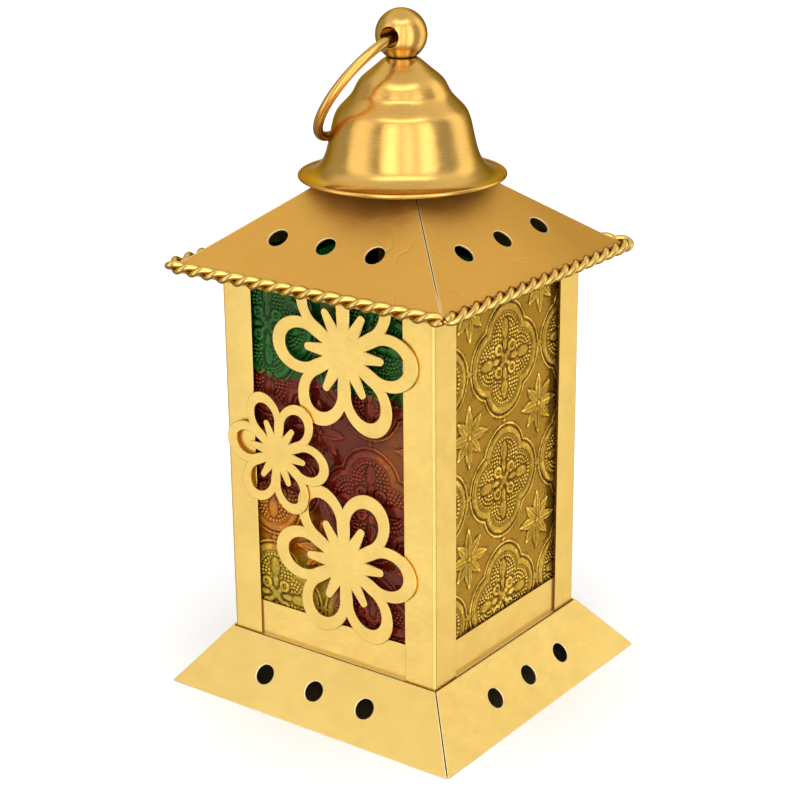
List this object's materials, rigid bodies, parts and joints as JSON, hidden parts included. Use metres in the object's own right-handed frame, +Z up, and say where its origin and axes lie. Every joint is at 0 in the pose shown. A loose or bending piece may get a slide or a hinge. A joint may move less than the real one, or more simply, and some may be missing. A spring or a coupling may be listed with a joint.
{
  "type": "candle lantern",
  "caption": "Square brass candle lantern with figured glass, cut-out flowers, vented base and roof, twisted eave trim, bell cap, rear door and a swinging carrying ring.",
  "frame": {"origin": "centre of the base, on the ground", "axes": "+Z up, -Y out of the front with the flowers, +X out of the amber side, +Y out of the door"},
  "size_m": [0.1272, 0.1272, 0.2496],
  "materials": {
    "brass_sheet": "satin gold",
    "roof_brass": "satin gold, darker",
    "spun_brass": "spun and buffed",
    "brass_wire": "drawn wire",
    "plain_brass": "plain",
    "painted_glass": "figured glass painted in green, maroon, orange and yellow bands",
    "amber_glass": "figured amber glass"
  },
  "bodies": {
    "lantern_body": {"base_front_panel": "brass_sheet", "base_right_panel": "brass_sheet", "base_back_panel": "brass_sheet", "base_left_panel": "brass_sheet", "post_front_left": "brass_sheet", "post_front_right": "brass_sheet", "post_back_right": "brass_sheet", "post_back_left": "brass_sheet", "bottom_rail_front": "brass_sheet", "bottom_rail_right": "brass_sheet", "bottom_rail_back": "brass_sheet", "bottom_rail_left": "brass_sheet", "top_rail_front": "brass_sheet", "top_rail_right": "brass_sheet", "top_rail_back": "brass_sheet", "top_rail_left": "brass_sheet", "flower_top": "brass_sheet", "flower_middle": "brass_sheet", "flower_bottom": "brass_sheet", "roof_front_panel": "roof_brass", "roof_right_panel": "roof_brass", "roof_back_panel": "roof_brass", "roof_left_panel": "roof_brass", "bell_dome": "spun_brass", "finial_ball": "spun_brass", "eave_wire_one": "brass_wire", "eave_wire_two": "brass_wire", "floor_plate": "plain_brass", "candle_cup": "plain_brass", "glass_clips_front": "plain_brass", "glass_clips_back": "plain_brass", "dome_seat": "plain_brass", "hinge_post_leaves": "plain_brass", "hinge_pins": "plain_brass", "latch_rivet": "plain_brass", "finial_rod": "plain_brass", "rod_washer": "plain_brass", "rod_nut": "plain_brass", "glass_front": "painted_glass", "glass_left": "painted_glass", "glass_right": "amber_glass"},
    "door": {"door_frame": "brass_sheet", "door_tabs": "brass_sheet", "hinge_door_leaves": "brass_sheet", "door_glass": "painted_glass"},
    "latch": {"latch_button": "brass_sheet"},
    "ring": {"carrying_ring": "spun_brass"}
  },
  "joints": [
    {"name": "door_swing", "type": "hinge", "parent": "lantern_body", "child": "door", "pos_m": [-0.03765, 0.04785, 0.095], "axis": [0, 0, 1], "range_deg": [0, 160]},
    {"name": "latch_turn", "type": "hinge", "parent": "lantern_body", "child": "latch", "pos_m": [0.0408, 0.0479, 0.0953], "axis": [0, 1, 0], "range_deg": [0, 90]},
    {"name": "ring_swing", "type": "hinge", "parent": "lantern_body", "child": "ring", "pos_m": [0, 0, 0.24051], "axis": [-0.1219, 0.9925, 0], "range_deg": [0, 286]}
  ]
}
